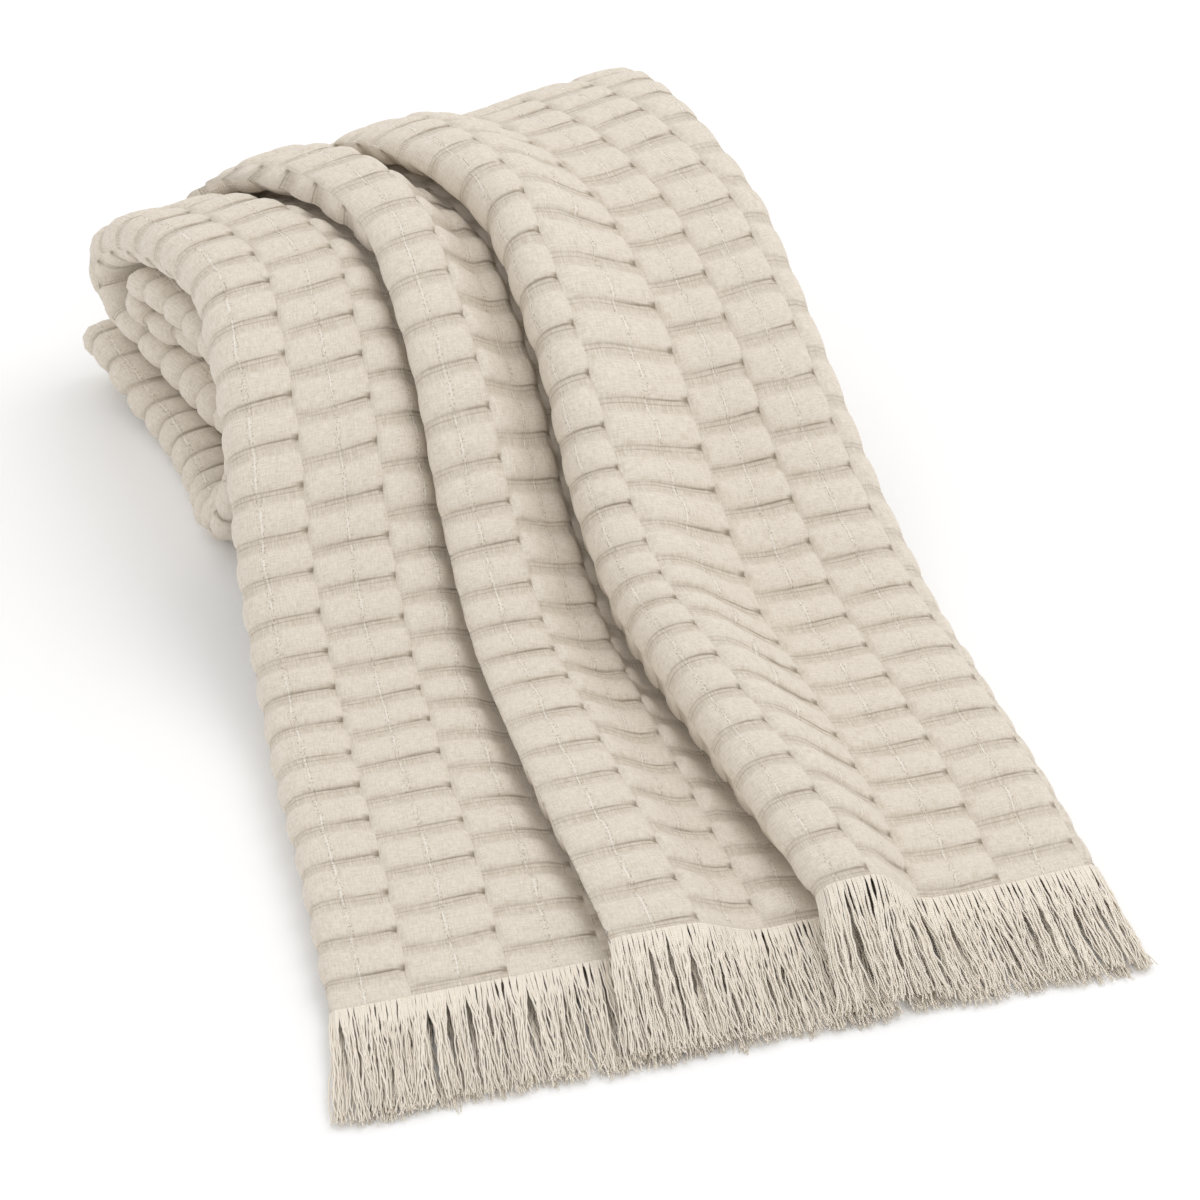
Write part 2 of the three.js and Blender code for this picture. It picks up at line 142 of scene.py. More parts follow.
# How the cloth lies across its width, at distances along the route: the two
# edges, how far the lower layers sink, how far the row turns back towards the
# right, and for each pleat its left fold, its crest, the reach of the layers
# under it, its height and the width of its right flank. Last, how far in the free
# edge lies and how far the cloth turned under at the left drops to its level.
breadth = {
    "along": (0, 90, 180, 270, 365, 456, 547, 638, 730, 810, 880,
              970, 1040, 1110, 1200, 1310, 1375, 1445, 1530, 1620, 1662),
    "left": (0, 0, -3, -5, -6, -2, -2, -4, -8, -10, 2, 10, 18, -8, 0, 6, -13, -21, -16, -20, 2),
    "right": (486, 478, 468, 457, 438, 419, 408, 426, 452, 448, 440,
              420, 416, 414, 416, 420, 424, 430, 430, 430, 430),
    "sink": (0, 0.4, 0.55, 0.65, 0.7, 0.7, 0.7, 0.75, 0.9, 1, 1, 1, 1, 1, 1, 1, 1, 1, 1, 1, 1),
    "turn": (0.042, 0.035, 0.03, 0.035, 0.06, 0.1, 0.14, 0.205, 0.22, 0.19, 0.17,
             0.16, 0.16, 0.16, 0.16, 0.16, 0.16, 0.16, 0.16, 0.16, 0.16),
    "fold1": (169, 152, 141, 134, 130, 129, 119, 104, 82, 68, 76,
              78, 78, 78, 78, 78, 78, 78, 78, 78, 78),
    "crest1": (218, 202, 188, 178, 171, 166, 158, 158, 150, 130, 126,
               126, 124, 124, 124, 124, 124, 124, 124, 124, 124),
    "deep1": (56, 56, 56, 56, 56, 56, 58, 62, 66, 66, 60, 58, 56, 56, 56, 56, 56, 56, 56, 56, 56),
    "rise1": (16, 19, 18, 17, 20, 23, 24, 21, 12, 3, 0, 0, 0, 0, 0, 0, 0, 0, 0, 0, 0),
    "flank1": (44, 42, 40, 38, 36, 36, 30, 18, 14, 28, 34, 38, 42, 42, 42, 42, 42, 42, 42, 42, 42),
    "fold2": (300, 274, 251, 232, 219, 214, 202, 187, 178, 176, 180,
              182, 184, 184, 184, 184, 184, 184, 184, 184, 184),
    "crest2": (336, 312, 287, 266, 252, 241, 229, 234, 238, 226, 226,
               226, 226, 226, 226, 226, 226, 226, 226, 226, 226),
    "deep2": (26, 30, 34, 38, 42, 46, 50, 56, 60, 60, 56, 56, 56, 56, 56, 56, 56, 56, 56, 56, 56),
    "rise2": (26, 35, 40, 42, 42, 39, 35, 22, 9, 2, 0, 0, 0, 0, 0, 0, 0, 0, 0, 0, 0),
    "flank2": (32, 50, 62, 68, 70, 70, 64, 56, 50, 45, 45, 45, 45, 45, 45, 45, 45, 45, 45, 45, 45),
    "freeEdge": (8, 8, 8, 22, 50, 66, 68, 68, 68, 68, 68, 68, 68, 68, 68, 68, 68, 68, 68, 68, 68),
    "drop": (0, 0, 0, 0, 0, 0.1, 0.5, 0.85, 1, 1, 1, 1, 1, 1, 1, 1, 1, 1, 1, 1, 1),
}

lay = {
    "clothThick": 5,        # the puffed cloth, as the solid has it
    "layerStep": 7,         # from one pleated layer to the next
    "wrapLength": 58,       # cloth turned under along the left edge
    "driftStart": 530,      # the folded-back half drifts left behind this line
    "driftEase": 60,
    "driftSlope": 0.42,
    "rightRise": 0.2,       # how much taller the hump is at the right edge
    "fullWidth": 487,
}

routePoints = np.array([[row[0], row[1]] for row in route.values()], float)
routeSteps = 20
routeCurve = smoothThrough(routePoints[None], routeSteps)[0]
routeAlong = distancesAlong(routeCurve)
routeLength = routeAlong[-1]
rowAlong = routeAlong[::routeSteps]
rowThick = [row[2] for row in route.values()]
routeHeading = np.gradient(routeCurve, routeAlong, axis=0)
routeHeading /= np.linalg.norm(routeHeading, axis=1, keepdims=True)


def pleatPoints(fold, crest, deep, rise, flank, top, sink):
    # from right to left: flank, crest, fold, back underneath, out as the next panel
    step = lay["layerStep"]
    base = top - 2 * step * sink
    back = base + step
    loop = top + rise - back
    width = crest - fold
    turn = step / 2
    roundTop = np.minimum(0.14 * width, 0.45 * loop)
    roundBack = np.minimum(0.1 * width, 0.45 * loop)
    tall = np.minimum(loop / 2 - 0.5, 0.62 + 0.34 * loop)
    # beside a tall pleat the panel on its left comes up close to it
    full = rise / (rise + 8)
    return [
        (crest + flank, top),
        (crest + 0.6 * flank, top + 0.42 * rise),
        (crest + 0.25 * flank, top + 0.86 * rise),
        (crest, top + 0.98 * rise),
        (fold + 0.5 * width, top + rise),
        (fold + roundTop, back + loop / 2 + tall),
        (fold, back + loop / 2),
        (fold + roundBack, back + loop / 2 - tall),
        (fold + 0.34 * width, back),
        (fold + deep - turn, back),
        (fold + deep, back - turn),
        (fold + deep - turn, base),
        (fold + (0.05 + 0.2 * full) * width, base),
        (fold - (0.25 - 0.1 * full) * width, base + (0.7 + 0.25 * full) * (top - base)),
    ]


pleatStart = {2: 8, 1: 22}     # where each pleat begins among the section's points
crestPoint = 3                 # its crest, counted from there
leftFlat = 37                  # where the left fold begins


def sectionPoints(along):
    value = {key: readTable(breadth["along"], column, along) for key, column in breadth.items()}
    thick = readTable(rowAlong, rowThick, along)
    left, right, sink = value["left"], value["right"], value["sink"]
    top = (thick - lay["clothThick"]) / 2
    wrap = np.minimum(lay["layerStep"] - top, 0)
    wrap = wrap + value["drop"] * (-top - wrap)
    leftTurn = (top - wrap) / 2
    leftMiddle = (top + wrap) / 2
    corner = math.sqrt(0.5)
    inRight = right - top * (1 - corner)
    inLeft = left + leftTurn * (1 - corner)
    points = [
        (left + value["freeEdge"], -top),
        (left + 0.35 * (right - left), -top),
        (left + 0.7 * (right - left), -top),
        (right - top, -top),
        (inRight, -corner * top),
        (right, 0),
        (inRight, corner * top),
        (right - top, top),
    ]
    for n in (2, 1):
        shape = [value[f"{key}{n}"] for key in ("fold", "crest", "deep", "rise", "flank")]
        points += pleatPoints(*shape, top, sink)
    points += [
        (left + leftTurn + 30, top),
        (left + leftTurn, top),
        (inLeft, leftMiddle + corner * leftTurn),
        (left, leftMiddle),
        (inLeft, leftMiddle - corner * leftTurn),
        (left + leftTurn, wrap),
        (left + lay["wrapLength"], wrap),
    ]
    across = np.stack([np.broadcast_to(p[0], along.shape) for p in points], axis=1)
    up = np.stack([np.broadcast_to(p[1], along.shape) for p in points], axis=1)
    return np.stack([across, up], axis=2), leftTurn


def placeOnRoute(across, up, along):
    # a section point set on the route, turned, drifted left and raised to the right
    row = along[:, None]
    y = np.interp(row, routeAlong, routeCurve[:, 0])
    z = np.interp(row, routeAlong, routeCurve[:, 1])
    headY = np.interp(row, routeAlong, routeHeading[:, 0])
    headZ = np.interp(row, routeAlong, routeHeading[:, 1])
    turn = readTable(breadth["along"], breadth["turn"], along)[:, None]
    y = y - up * headZ + turn * across
    z = z + up * headY
    behind = np.maximum(0, y - lay["driftStart"])
    x = across - lay["driftSlope"] * behind ** 2 / (behind + lay["driftEase"])
    z = np.maximum(0, z) * (1 + lay["rightRise"] * across / lay["fullWidth"])
    return np.stack([x, y, z], axis=2)


# the woven cloth
weave = {
    "column": 56.5,         # mm, width of a woven column
    "rib": 30.2,            # mm, from one puffed rib to the next
    "firstRib": 9,          # mm of plain weave before the first crease
    "puff": 4.1,            # mm, height of a puffed cell
    "inset": 1,             # mm that the flat weave lies inside the solid's middle
    "flat": 0.29,           # share of a rib that lies flat behind its cell
    "lean": 0.1,            # how far a cell leans over the crease in front of it
    "overlap": 0.3,         # how far a cell's left end swells over its neighbour
    "groove": 0.7,          # mm, depth of the crease in front of a cell
    "slit": 2.4,            # mm, depth of the pit at the crease's right end
    "unevenness": 0.16,     # how much cells differ in height
    "sway": 1.5,            # mm, slow waviness of the whole cloth
    # mm from the left fold to the first column line, along the cloth: where the
    # cloth lies upside down in the stack one column covers the fold
    "edgeColumn": {0: 50, 790: 50, 860: 94, 1300: 94, 1400: 38, 1700: 38},
    "seed": 11,
}
# in the stack the ribs are pushed together, rounder, and run on over the left fold
stack = {
    "from": 780,            # mm along the cloth from the hem
    "ease": 120,
    "rib": 24,
    "puff": 5,
    "flat": 0.13,
}

# woven columns from the free edge under the throw to the edge turned under at
# the left, with how finely each is divided and how much of its puff stands
firstTopColumn = 11            # the column that ends at pleat 2's crest
betweenPleats = 5              # columns from pleat 2's first point to just before pleat 1's crest
toLeftFold = 10                # and to the first column line before the left fold
columnCount = 23
fineColumn = (0, 0.03, 0.08, 0.17, 0.29, 0.41, 0.5, 0.59, 0.71, 0.83, 0.92, 0.97)
plainColumn = (0, 0.05, 0.17, 0.41, 0.59, 0.83, 0.95)
coarseColumn = (0, 0.33, 0.67)
rollColumn = (0, 0.04, 0.1, 0.18, 0.26, 0.34, 0.42, 0.5, 0.6, 0.74, 0.88, 0.96)
columnKinds = {
    **{n: coarseColumn for n in range(columnCount)},
    **{n: plainColumn for n in (8, 14)},
    **{n: fineColumn for n in (9, 10, 11, 12, 15, 16, 19, 20, 21)},
    22: rollColumn,
}
# deep in the stack only the folded edges keep their fine columns
stackColumns = (8, 20, 21, 22)
fewerFrom = 900                # mm from the hem
halfRibRows = {
    # up to so many mm from the hem: rows within half a rib, close at the creases
    700: (0, 0.06, 0.15, 0.27, 0.36, 0.44, 0.6, 0.8),
    fewerFrom: (0, 0.15, 0.39, 0.55, 0.78),
    2000: (0, 0.12, 0.3, 0.5, 0.7, 0.86),
}


def acrossLines():
    lines = []
    kept = []
    for n in range(columnCount):
        lines += [n + part for part in columnKinds[n]]
        kept += [part == 0 or n in stackColumns for part in columnKinds[n]]
    return np.array(lines + [columnCount]), np.array(kept + [True])


def inStack(along):
    return softStep(along, stack["from"], stack["from"] + stack["ease"])


def ribsAlong(along):
    # ribs counted from the first crease
    past = np.maximum(0, along - stack["from"])
    closer = 1 / stack["rib"] - 1 / weave["rib"]
    return (along - weave["firstRib"]) / weave["rib"] + closer * past ** 2 / (past + stack["ease"])


def alongLines():
    scale = np.arange(0, routeLength)
    ribs = ribsAlong(scale)
    halves = int(2 * ribs[-1])
    lines = [0, 2.5, 5, 7.5]
    for half in range(halves):
        start = np.interp(half / 2, ribs, scale)
        rows = next(rows for end, rows in halfRibRows.items() if start < end)
        lines += [np.interp((half + part) / 2, ribs, scale) for part in rows]
    return np.array(lines + [np.interp(halves / 2, ribs, scale), routeLength])


def latticeNoise(x, y, seed):
    # smooth noise from -1 to 1 on a lattice of whole numbers
    size = 97
    values = np.random.default_rng(seed).uniform(-1, 1, (size, size))
    ix, iy = np.floor(x).astype(int), np.floor(y).astype(int)
    fx, fy = x - ix, y - iy
    fx, fy = fx * fx * (3 - 2 * fx), fy * fy * (3 - 2 * fy)
    a = values[ix % size, iy % size] * (1 - fx) + values[(ix + 1) % size, iy % size] * fx
    b = values[ix % size, (iy + 1) % size] * (1 - fx) + values[(ix + 1) % size, (iy + 1) % size] * fx
    return a * (1 - fy) + b * fy


def layCloth():
    # the smooth cloth, with its column lines and rows and each vertex's place on the section
    columns, kept = acrossLines()
    along = alongLines()
    perSpan = 10
    points, leftTurn = sectionPoints(along)
    dense = smoothThrough(points, perSpan)
    reach = distancesAlong(dense)
    flatEdge = reach[:, leftFlat * perSpan]
    firstLine = np.interp(along, list(weave["edgeColumn"]), list(weave["edgeColumn"].values()))
    anchors = np.stack([
        reach[:, 0],
        reach[:, pleatStart[2] * perSpan],
        reach[:, (pleatStart[2] + crestPoint) * perSpan],
        reach[:, (pleatStart[1] + crestPoint - 1) * perSpan],
        flatEdge - (firstLine - leftTurn),
        reach[:, -1],
    ], axis=1)
    anchorColumns = [0, firstTopColumn, firstTopColumn + 1, firstTopColumn + betweenPleats,
                     firstTopColumn + toLeftFold, columnCount]
    place = np.arange(dense.shape[1]) / perSpan
    across = np.zeros((len(along), len(columns)))
    up = np.zeros_like(across)
    where = np.zeros_like(across)
    for r in range(len(along)):
        wanted = np.interp(columns, anchorColumns, anchors[r])
        across[r] = np.interp(wanted, reach[r], dense[r, :, 0])
        up[r] = np.interp(wanted, reach[r], dense[r, :, 1])
        where[r] = np.interp(wanted, reach[r], place)
    return columns, kept, along, placeOnRoute(across, up, along), where


def clothFrame(cloth):
    # unit directions out of the cloth, along it and across it
    acrossWay = np.gradient(cloth, axis=1)
    alongWay = np.gradient(cloth, axis=0)
    normal = np.cross(alongWay, acrossWay)
    return [way / (np.linalg.norm(way, axis=2, keepdims=True) + 1e-9)
            for way in (normal, alongWay, acrossWay)]


# how much of its puff a cell loses, and between which points of the section
pressed = {
    "pleatFold": 0.4,       # round a pleat's fold
    "pleatHidden": 0.4,     # and again on the layers under the pleat
    "underside": 0.65,
    "leftFold": 0.4,        # only in front of the stack
    "turnedUnder": 0.7,
    "foldFrom": (4.2, 5.6),         # counted from the pleat's first point
    "hiddenFrom": (6.8, 8.4),
    "pleatEnds": (12, 13),
    "undersideEnds": (5.5, 7.6),    # counted from the free edge
    "leftFoldFrom": (36.9, 38.4),
    "turnedUnderFrom": (40.4, 41.4),
}


def standingShare(where, dropped, stacked):
    # cells stand full on the panels, are drawn flatter round a fold, and are
    # pressed where layers lie on each other
    share = np.ones_like(where)
    for n in (2, 1):
        fromStart = where - pleatStart[n]
        inPleat = 1 - softStep(fromStart, *pressed["pleatEnds"])
        share *= 1 - pressed["pleatFold"] * softStep(fromStart, *pressed["foldFrom"]) * inPleat
        share *= 1 - pressed["pleatHidden"] * softStep(fromStart, *pressed["hiddenFrom"]) * inPleat
    clearOfUnderside = softStep(where, *pressed["undersideEnds"])
    share *= 1 - pressed["underside"] + pressed["underside"] * clearOfUnderside
    share *= 1 - pressed["leftFold"] * softStep(where, *pressed["leftFoldFrom"]) * (1 - stacked)
    turnedUnder = softStep(where, *pressed["turnedUnderFrom"]) * (1 - dropped)
    return share * (1 - pressed["turnedUnder"] * turnedUnder)


def ribPlace(column, inColumn, along):
    # distance in ribs, offset by half a rib from one column to the next, with the
    # creases a little uneven and sagging between the column lines
    ribs = ribsAlong(along)
    wander = 0.035 * latticeNoise((column + inColumn) * 1.7 + 5, ribs * 0.9, weave["seed"])
    return ribs + 0.5 * (column % 2) + 0.012 * np.sin(np.pi * inColumn) + wander


def cellEnds(inColumn):
    # how near the cell's right and left end a place is
    return np.exp(-inColumn / 0.07), np.exp(-(1 - inColumn) / 0.035)


def puffedShare(column, inColumn, number, along):
    # the share of a rib that its cell takes, less towards the cell's ends
    rightEnd, leftEnd = cellEnds(inColumn)
    flat = weave["flat"] + (stack["flat"] - weave["flat"]) * inStack(along)
    uneven = 0.05 * latticeNoise((column + inColumn) * 2.9, number * 3.1, weave["seed"] + 2)
    return 1 - flat - 0.07 * (rightEnd + leftEnd) + uneven


def cellShape(columns, along):
    # A cell is a round pillow from its front crease to the flat band behind it, lower
    # towards its ends and nipped in at the yarn along its middle. Returns its
    # height, how far its ends swell sideways, and the pit of its crease.
    seed = weave["seed"]
    column = np.floor(columns)
    inColumn = columns - column
    ribs = ribPlace(column, inColumn, along)
    number = np.floor(ribs)
    inRib = ribs - number
    size = 1 + weave["unevenness"] * latticeNoise(column * 3.7 + 0.5, number * 2.3 + 0.5, seed + 1)
    size = size * (number >= column % 2)        # a cell cut by the hem stays flat
    rightEnd, leftEnd = cellEnds(inColumn)
    t = np.clip(inRib / puffedShare(column, inColumn, number, along), 0, 1)
    rise = size * np.sin(np.pi * t) ** 0.45
    seam = 1 - 0.13 * np.exp(-((inColumn - 0.5) / 0.05) ** 2)
    height = rise * (1 - 0.85 * rightEnd) * (1 - 0.85 * leftEnd) * seam
    swell = rise * (leftEnd - 0.4 * rightEnd)
    off = np.minimum(inRib, 1 - inRib)
    groove = weave["groove"] * np.exp(-(off / 0.03) ** 2)
    pit = weave["slit"] * np.exp(-(off / 0.06) ** 2) * np.exp(-(inColumn / 0.05) ** 2)
    return np.stack([height, swell, groove + pit])


def puffCloth(columns, along, cloth, where):
    normal, alongWay, acrossWay = clothFrame(cloth)
    across, row = columns[None], along[:, None]
    # a column line takes the mean of the cells on its two sides
    nudge = 1e-4
    sides = [np.clip(across + side, nudge, columnCount - nudge) for side in (-nudge, nudge)]
    height, swell, pit = sum(cellShape(side, row) for side in sides) / 2
    dropped = readTable(breadth["along"], breadth["drop"], row)
    standing = standingShare(where, dropped, inStack(row)) * softStep(row, 4, weave["firstRib"] + 3)
    standing = standing * softStep(routeLength - row, 4, 12)
    puffMm = weave["puff"] + (stack["puff"] - weave["puff"]) * inStack(row)
    puff = puffMm * height * standing
    sway = weave["sway"] * latticeNoise(across * 0.9, row / 70, weave["seed"] + 5)
    lift = puff + (sway - pit) * standing - weave["inset"]
    aside = weave["overlap"] * puffMm * swell * standing
    moved = cloth + normal * lift[:, :, None] + acrossWay * aside[:, :, None]
    moved -= alongWay * (weave["lean"] * puff)[:, :, None]
    moved[:, :, 2] = np.maximum(moved[:, :, 2], 0.3)
    return moved


def weaveCorners(faces, columns, along):
    # Weave map of each face corner: x counts columns, y counts ribs. Within a rib
    # the cell always takes the same share, so that the material can find it.
    cornerColumns, cornerAlong = columns[faces % len(columns)], along[faces // len(columns)]
    column = np.floor(cornerColumns.mean(axis=1, keepdims=True))
    inColumn = cornerColumns - column
    ribs = ribPlace(column, inColumn, cornerAlong)
    # corners on a crease belong to the rib in which their face lies
    number = np.floor(ribs.mean(axis=1, keepdims=True))
    inRib = ribs - number
    share = puffedShare(column, inColumn, number, cornerAlong)
    puffedPart = inRib / share * (1 - weave["flat"])
    flatPart = 1 - (1 - inRib) / (1 - share) * weave["flat"]
    placed = number + np.where(inRib < share, puffedPart, flatPart)
    return np.stack([cornerColumns, placed], axis=2).reshape(-1, 2)


def quadsBetween(rows, columns, stride):
    a = rows[:, None] * stride + columns[None]
    return np.stack([a[:-1, :-1], a[1:, :-1], a[1:, 1:], a[:-1, 1:]], axis=2).reshape(-1, 4)


def clothFaces(along, kept):
    # every column up to the stack, the kept ones inside it, and triangles that join them
    stride = len(kept)
    every, fewer = np.arange(stride), np.flatnonzero(kept)
    row = int(np.searchsorted(along, fewerFrom))
    quads = [quadsBetween(np.arange(row + 1), every, stride),
             quadsBetween(np.arange(row + 1, len(along)), fewer, stride)]
    triangles = []
    for first, last in zip(fewer[:-1], fewer[1:]):
        corner = (row + 1) * stride + first
        triangles += [(corner, row * stride + k + 1, row * stride + k) for k in range(first, last)]
        triangles.append((corner, (row + 1) * stride + last, row * stride + last))
    return np.concatenate(quads), np.array(triangles)


def meshFrom(name, vertices, *faceSets):
    # a mesh from its vertices and one or more arrays of faces with equal corners
    loops = np.concatenate([faces.ravel() for faces in faceSets]).astype(np.int32)
    sizes = np.concatenate([np.full(len(faces), faces.shape[1]) for faces in faceSets])
    mesh = bpy.data.meshes.new(name)
    mesh.vertices.add(len(vertices))
    mesh.vertices.foreach_set("co", np.asarray(vertices, np.float32).ravel())
    mesh.loops.add(len(loops))
    mesh.loops.foreach_set("vertex_index", loops)
    mesh.polygons.add(len(sizes))
    mesh.polygons.foreach_set("loop_start", (np.cumsum(sizes) - sizes).astype(np.int32))
    mesh.polygons.foreach_set("use_smooth", np.ones(len(sizes), bool))
    mesh.update(calc_edges=True)
    mesh.validate()
    piece = bpy.data.objects.new(name, mesh)
    bpy.context.scene.collection.objects.link(piece)
    return piece


def addMap(piece, name, corners):
    layer = piece.data.uv_layers.new(name=name)
    layer.data.foreach_set("uv", np.asarray(corners, np.float32).ravel())


columns, kept, along, smoothCloth, where = layCloth()
smoothNormal = clothFrame(smoothCloth)[0]
outside = smoothCloth + smoothNormal * lay["clothThick"] / 2
inside = smoothCloth - smoothNormal * lay["clothThick"] / 2
lowest = np.minimum(outside.min((0, 1)), inside.min((0, 1)))
highest = np.maximum(outside.max((0, 1)), inside.max((0, 1)))
cadLow, cadHigh = np.array(clothBox[0]) / mm, np.array(clothBox[1]) / mm
shift = (cadLow + cadHigh - lowest - highest) / 2
shift[2] = 0
print("cloth laid:", smoothCloth.shape, "shift", shift, "size", highest - lowest, cadHigh - cadLow)

puffed = puffCloth(columns, along, smoothCloth, where) + shift
quads, triangles = clothFaces(along, kept)
used, renumbered = np.unique(np.concatenate([quads.ravel(), triangles.ravel()]), return_inverse=True)
throwCloth = meshFrom("puffedCloth", puffed.reshape(-1, 3)[used] * mm,
                      renumbered[:quads.size].reshape(-1, 4), renumbered[quads.size:].reshape(-1, 3))
weaveMap = [weaveCorners(faces, columns, along) for faces in (quads, triangles)]
addMap(throwCloth, "weave", np.concatenate(weaveMap))
print("cloth puffed:", len(quads) * 2 + len(triangles), "triangles")


# the fringe: lengthwise yarns left loose past the hem
fringeYarn = {
    "length": 79,           # mm
    "lengthSpread": 2.2,
    "thick": 1.1,           # mm, two strands twisted together
    "spacing": 0.56,        # mm of hem for each yarn
    "bundle": 5,            # yarns that leave the hem side by side, about
    "bundleTight": (0.05, 0.6),     # how far a bundle closes up, least and most
    "flattened": 0.62,      # height of a yarn for its width
    "clump": 15,            # yarns that hang together, about
    "clumpPull": (0.15, 0.6),
    "clumpSway": 2.2,       # mm that clumps and single yarns lean sideways at their tips
    "yarnSway": 2.4,
    "clumpLength": 1.6,     # mm that clumps differ in length
    "frayed": 1.5,          # mm that the tips spread
    "spread": 0.025,        # fans out from the middle of the hem
    "crimp": 0.4,           # mm, waviness kept from the weaving
    "crimpLength": 9,       # mm from wave to wave
    "wander": 0.9,          # mm, slow waviness
    "inHem": 2.5,           # mm that a yarn starts inside the hem
    "pile": 2.6,            # mm that yarns and clumps lie over one another
    "clumpLift": 2.2,
    "aboveFloor": 0.2,
    "underColumns": 8,      # columns of the hem that hang from the under layer
    "steps": 15,
    "sides": 4,
    "seed": 23,
}
# height of a yarn as a share of the hem's height, at shares of its length
fallOut = (0, 0.08, 0.3, 0.62, 1)
fallHeight = (1, 0.97, 0.72, 0.38, 0.18)


def hemLine():
    # even steps along the hem
    line = smoothCloth[0]
    reach = distancesAlong(line)
    count = int(reach[-1] / fringeYarn["spacing"])
    wanted = (np.arange(count) + 0.5) * reach[-1] / count
    at = np.stack([np.interp(wanted, reach, line[:, k]) for k in range(3)], axis=1)
    column = np.interp(wanted, reach, columns)
    return at, column


def unevenGroups(count, size, random):
    # the group that each yarn belongs to, in groups of about one size
    return np.searchsorted(np.cumsum(random.uniform(0.35, 1.65, count) * size), np.arange(count))


def toMiddle(x, group):
    # how far each yarn is from the middle of its group
    middle = np.bincount(group, x) / np.maximum(np.bincount(group), 1)
    return (middle[group] - x)[:, None]


def yarnPaths(at, random):
    count = len(at)
    t = np.linspace(0, 1, fringeYarn["steps"])[None]
    # clumps of uneven size, closing up half way down and loosening at the tips
    clump = unevenGroups(count, fringeYarn["clump"], random)
    clumps = clump.max() + 1
    toClump = toMiddle(at[:, 0], clump)
    pull = random.uniform(*fringeYarn["clumpPull"], clumps)[clump][:, None]
    # small bundles at the hem, which leave narrow gaps between them
    bundle = unevenGroups(count, fringeYarn["bundle"], random)
    tight = random.uniform(*fringeYarn["bundleTight"], bundle.max() + 1)[bundle][:, None]
    closed = softStep(t, -0.03, 0.06) * (1 - softStep(t, 0.3, 0.8))
    bundled = tight * toMiddle(at[:, 0], bundle) * closed
    together = softStep(t, 0.02, 0.5) * (1 - 0.6 * softStep(t, 0.55, 1))
    sideways = random.normal(0, fringeYarn["clumpSway"], clumps)[clump][:, None]
    sideways = sideways + random.normal(0, fringeYarn["yarnSway"], count)[:, None]
    length = fringeYarn["length"] + random.normal(0, fringeYarn["clumpLength"], clumps)[clump][:, None]
    length = length + random.normal(0, fringeYarn["lengthSpread"], count)[:, None]
    height = at[:, 2:3]
    reach = length * (1 - 0.14 * np.clip(height / 45, 0, 1))
    fan = fringeYarn["spread"] * (at[:, :1] - lay["fullWidth"] / 2)
    phase = random.uniform(0, 2 * math.pi, (count, 3))
    wave = 2 * math.pi * t * length / fringeYarn["crimpLength"]
    grow = softStep(t, 0, 0.3)
    fray = softStep(t, 0.86, 1) * random.normal(0, fringeYarn["frayed"], (count, 1))
    x = at[:, :1] + toClump * pull * together + fan * t + bundled
    x = x + sideways * t ** 1.3 + fray
    x = x + grow * (fringeYarn["crimp"] * np.sin(wave + phase[:, :1])
                    + fringeYarn["wander"] * np.sin(wave * 0.17 + phase[:, 1:2]))
    y = at[:, 1:2] + fringeYarn["inHem"] - (reach + fringeYarn["inHem"]) * t
    pile = random.uniform(0, 1, count)[:, None] * softStep(t, 0.05, 0.5)
    lift = random.uniform(0, 1, clumps)[clump][:, None] * softStep(t, 0.1, 0.6)
    z = height * np.interp(t, fallOut, fallHeight)
    z = z + fringeYarn["pile"] * pile + fringeYarn["clumpLift"] * lift
    z = z + grow * fringeYarn["crimp"] * np.sin(wave * 0.83 + phase[:, 2:3])
    z = z + softStep(t, 0.86, 1) * random.normal(0, 1, (count, 1))
    z = np.maximum(z, fringeYarn["thick"] / 2 + fringeYarn["aboveFloor"])
    return np.stack([x, y, z], axis=2)


def yarnTubes(name, paths, random):
    # flattened tubes along the paths, thinner at the hem and towards the tips
    sides = fringeYarn["sides"]
    count, steps = paths.shape[:2]
    heading = np.gradient(paths, axis=1)
    heading /= np.linalg.norm(heading, axis=2, keepdims=True)
    side = np.cross(heading, np.array([0, 0, 1.0]))
    side /= np.linalg.norm(side, axis=2, keepdims=True) + 1e-9
    above = np.cross(side, heading)
    t = np.linspace(0, 1, steps)[None, :, None, None]
    radius = fringeYarn["thick"] / 2 * (0.75 + 0.3 * softStep(t, 0, 0.12) - 0.35 * t ** 3)
    radius = radius * random.uniform(0.8, 1.2, count)[:, None, None, None]
    angle = 2 * math.pi * np.arange(sides) / sides
    ring = (side[:, :, None] * np.cos(angle)[None, None, :, None]
            + fringeYarn["flattened"] * above[:, :, None] * np.sin(angle)[None, None, :, None])
    points = paths[:, :, None] + ring * radius
    index = np.arange(count * steps * sides).reshape(count, steps, sides)
    a = index[:, :-1]
    b = np.roll(index, -1, axis=2)[:, :-1]
    c = np.roll(index, -1, axis=2)[:, 1:]
    d = index[:, 1:]
    quads = np.stack([a, b, c, d], axis=3).reshape(-1, 4)
    piece = meshFrom(name, points.reshape(-1, 3) * mm, quads)
    u = np.repeat(np.arange(count), (steps - 1) * sides)
    v0 = np.tile(np.repeat(np.arange(steps - 1), sides), count) / (steps - 1)
    v1 = v0 + 1 / (steps - 1)
    s0 = np.tile(np.arange(sides), count * (steps - 1)) / sides
    s1 = s0 + 1 / sides
    tone = u + 0.001
    corners = np.stack([
        np.stack([tone + 0.9 * s0, v0], axis=1), np.stack([tone + 0.9 * s1, v0], axis=1),
        np.stack([tone + 0.9 * s1, v1], axis=1), np.stack([tone + 0.9 * s0, v1], axis=1),
    ], axis=1)
    addMap(piece, "yarn", corners)
    print(name, "yarns:", count, "triangles:", len(quads) * 2)
    return piece


